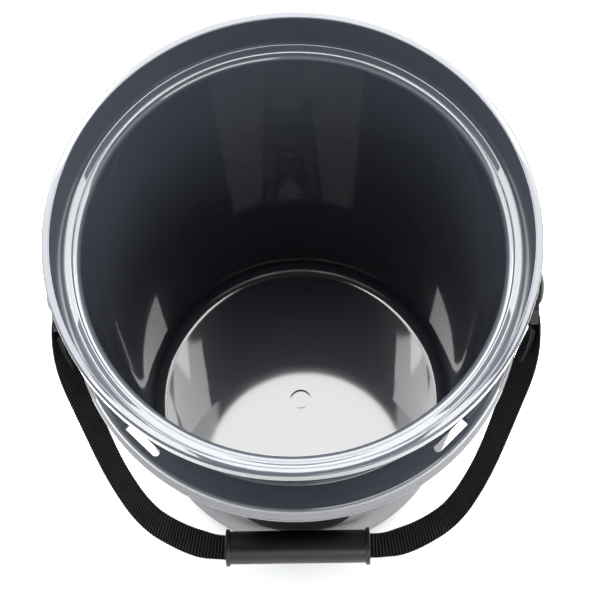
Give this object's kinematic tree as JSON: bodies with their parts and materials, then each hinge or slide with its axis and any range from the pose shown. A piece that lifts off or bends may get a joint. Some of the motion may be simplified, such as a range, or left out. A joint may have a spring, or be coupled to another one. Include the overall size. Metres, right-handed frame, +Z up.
{
  "type": "wash bucket",
  "caption": "Tapered round wash bucket with a slotted collar, a wrap label and a webbing carry handle that swings on side pins and has a tube grip",
  "frame": {"origin": "centre of the circle that the foot ring stands on, on the floor plane", "axes": "+Z up along the bucket's axis; the handle swings about an axis along X and hangs at the front, towards -Y; units metres"},
  "size_m": [0.3468, 0.32, 0.39],
  "materials": {
    "bucket_plastic": "glossy anthracite polypropylene",
    "label_film": "satin light grey film",
    "webbing": "cross-ribbed black webbing",
    "black_plastic": "satin black"
  },
  "bodies": {
    "bucket": {"bucket_body": "bucket_plastic", "body_label": "label_film", "collar_band_front": "label_film", "collar_band_rear": "label_film", "pivot_pin_left": "black_plastic", "pivot_pin_right": "black_plastic"},
    "handle": {"handle_strap": "webbing", "strap_link_left": "black_plastic", "strap_link_right": "black_plastic"},
    "grip": {"handle_grip": "black_plastic"}
  },
  "joints": [
    {"name": "handle_swing", "type": "hinge", "parent": "bucket", "child": "handle", "pos_m": [0, 0, 0.2834], "axis": [-1, 0, 0], "range_deg": [0, 282.6]},
    {"name": "grip_slide", "type": "slide", "parent": "handle", "child": "grip", "axis": [1, 0, 0], "range_m": [-0.0016, 0.0064]}
  ]
}
